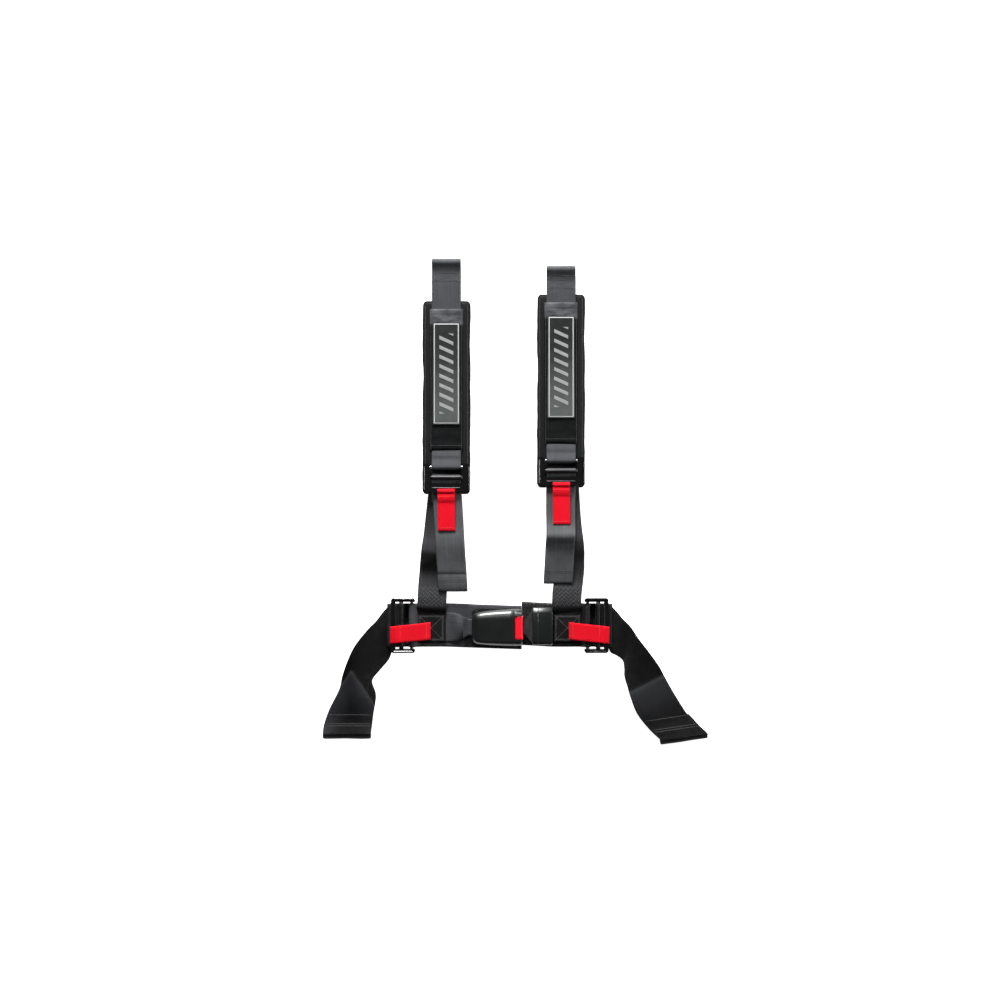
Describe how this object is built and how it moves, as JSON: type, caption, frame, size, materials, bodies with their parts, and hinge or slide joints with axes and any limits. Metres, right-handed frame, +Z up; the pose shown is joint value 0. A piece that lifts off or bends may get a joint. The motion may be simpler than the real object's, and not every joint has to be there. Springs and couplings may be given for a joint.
{
  "type": "racing harness",
  "caption": "Black racing harness laid flat: padded shoulder straps, wide lap straps, push button buckle, metal adjusters with red pull tabs.",
  "frame": {"origin": "centre of the bounding box's footprint on the floor", "axes": "+X across the harness toward the tongue side, +Y up the shoulder straps, +Z up off the floor"},
  "size_m": [0.6643, 0.848, 0.0268],
  "materials": {
    "webbing": "woven black webbing",
    "pad_fabric": "knit cover over foam",
    "sleeve_fabric": "smooth woven cover",
    "label": "embroidered patch with a pale border",
    "tab_webbing": "woven red webbing",
    "dark_steel": "black coated steel",
    "bright_steel": "plated steel",
    "shell_plastic": "fine grained black plastic",
    "button_plastic": "red moulded plastic"
  },
  "bodies": {
    "buckle": {"buckle_lower_shell": "shell_plastic", "buckle_upper_shell": "shell_plastic", "buckle_frame": "bright_steel", "strap_bar": "bright_steel", "pawl_pin": "bright_steel", "button_springs": "bright_steel", "shell_screws": "bright_steel", "left_link_strap": "webbing", "left_lap_band": "webbing", "left_lap_fixed_bar": "bright_steel", "left_lower_strap": "webbing"},
    "button": {"push_button": "button_plastic"},
    "pawl": {"latch_pawl": "bright_steel"},
    "tongue_side": {"tongue_plate": "bright_steel", "tongue_cover": "shell_plastic", "right_link_strap": "webbing", "right_lap_band": "webbing", "right_lap_fixed_bar": "bright_steel", "right_lower_strap": "webbing"},
    "left_shoulder": {"left_upper_strap": "webbing", "left_fixed_bar": "bright_steel"},
    "left_pad": {"left_pad": "pad_fabric", "left_sleeve": "sleeve_fabric", "left_label": "label"},
    "left_adjuster": {"left_adjuster_frame": "dark_steel"},
    "left_grip": {"left_slide_bar": "bright_steel", "left_tail_strap": "webbing"},
    "left_tab": {"left_pull_tab": "tab_webbing"},
    "left_lap_adjuster": {"left_lap_frame": "dark_steel"},
    "left_lap_grip": {"left_lap_slide_bar": "bright_steel", "left_lap_tail": "webbing"},
    "left_lap_tab": {"left_lap_pull_tab": "tab_webbing"},
    "left_lap_strap": {"left_lap_strap": "webbing"},
    "right_shoulder": {"right_upper_strap": "webbing", "right_fixed_bar": "bright_steel"},
    "right_pad": {"right_pad": "pad_fabric", "right_sleeve": "sleeve_fabric", "right_label": "label"},
    "right_adjuster": {"right_adjuster_frame": "dark_steel"},
    "right_grip": {"right_slide_bar": "bright_steel", "right_tail_strap": "webbing"},
    "right_tab": {"right_pull_tab": "tab_webbing"},
    "right_lap_adjuster": {"right_lap_frame": "dark_steel"},
    "right_lap_grip": {"right_lap_slide_bar": "bright_steel", "right_lap_tail": "webbing"},
    "right_lap_tab": {"right_lap_pull_tab": "tab_webbing"},
    "right_lap_strap": {"right_lap_strap": "webbing"}
  },
  "joints": [
    {"name": "button_press", "type": "slide", "parent": "buckle", "child": "button", "axis": [-1, 0, 0], "range_m": [0, 0.005], "stiffness_N_per_m": 600},
    {"name": "latch_lift", "type": "hinge", "parent": "buckle", "child": "pawl", "pos_m": [-0.04, -0.219, 0.016], "axis": [0, -1, 0], "range_deg": [0, 8]},
    {"name": "tongue_release", "type": "slide", "parent": "buckle", "child": "tongue_side", "axis": [1, 0, 0], "range_m": [0, 0.06]},
    {"name": "left_shoulder_length", "type": "slide", "parent": "buckle", "child": "left_shoulder", "axis": [0, 1, 0], "range_m": [-0.03, 0.025]},
    {"name": "left_pad_slide", "type": "slide", "parent": "left_shoulder", "child": "left_pad", "axis": [0, 1, 0], "range_m": [0, 0.05]},
    {"name": "left_adjuster_tilt", "type": "hinge", "parent": "left_shoulder", "child": "left_adjuster", "pos_m": [-0.1205, 0.06, 0.0161], "axis": [-1, 0, 0], "range_deg": [0, 30]},
    {"name": "left_grip_slide", "type": "slide", "parent": "left_adjuster", "child": "left_grip", "axis": [0, 1, 0], "range_m": [0, 0.0025]},
    {"name": "left_tab_lift", "type": "hinge", "parent": "left_adjuster", "child": "left_tab", "pos_m": [-0.1205, 0.01825, 0.0225], "axis": [-1, 0, 0], "range_deg": [0, 110]},
    {"name": "left_lap_tilt", "type": "hinge", "parent": "buckle", "child": "left_lap_adjuster", "pos_m": [-0.181, -0.2156, 0.0072], "axis": [0, 1, 0], "range_deg": [0, 18]},
    {"name": "left_lap_grip_slide", "type": "slide", "parent": "left_lap_adjuster", "child": "left_lap_grip", "axis": [1, 0, 0], "range_m": [0, 0.0025]},
    {"name": "left_lap_tab_lift", "type": "hinge", "parent": "left_lap_adjuster", "child": "left_lap_tab", "pos_m": [-0.21475, -0.2156, 0.0138], "axis": [0, -1, 0], "range_deg": [0, 110]},
    {"name": "left_lap_length", "type": "slide", "parent": "buckle", "child": "left_lap_strap", "axis": [-1, 0, 0], "range_m": [0, 0.025]},
    {"name": "right_shoulder_length", "type": "slide", "parent": "tongue_side", "child": "right_shoulder", "axis": [0, 1, 0], "range_m": [-0.03, 0.025]},
    {"name": "right_pad_slide", "type": "slide", "parent": "right_shoulder", "child": "right_pad", "axis": [0, 1, 0], "range_m": [0, 0.026]},
    {"name": "right_adjuster_tilt", "type": "hinge", "parent": "right_shoulder", "child": "right_adjuster", "pos_m": [0.0795, 0.0715, 0.0161], "axis": [-1, 0, 0], "range_deg": [0, 30]},
    {"name": "right_grip_slide", "type": "slide", "parent": "right_adjuster", "child": "right_grip", "axis": [0, 1, 0], "range_m": [0, 0.0025]},
    {"name": "right_tab_lift", "type": "hinge", "parent": "right_adjuster", "child": "right_tab", "pos_m": [0.0795, 0.02975, 0.0225], "axis": [-1, 0, 0], "range_deg": [0, 110]},
    {"name": "right_lap_tilt", "type": "hinge", "parent": "tongue_side", "child": "right_lap_adjuster", "pos_m": [0.126, -0.2156, 0.0072], "axis": [0, -1, 0], "range_deg": [0, 18]},
    {"name": "right_lap_grip_slide", "type": "slide", "parent": "right_lap_adjuster", "child": "right_lap_grip", "axis": [-1, 0, 0], "range_m": [0, 0.0025]},
    {"name": "right_lap_tab_lift", "type": "hinge", "parent": "right_lap_adjuster", "child": "right_lap_tab", "pos_m": [0.15975, -0.2156, 0.0138], "axis": [0, 1, 0], "range_deg": [0, 110]},
    {"name": "right_lap_length", "type": "slide", "parent": "tongue_side", "child": "right_lap_strap", "axis": [1, 0, 0], "range_m": [0, 0.025]}
  ],
  "couplings": [
    {"joint": "latch_lift", "follows": "button_press", "rad_per_m": 27.925}
  ]
}
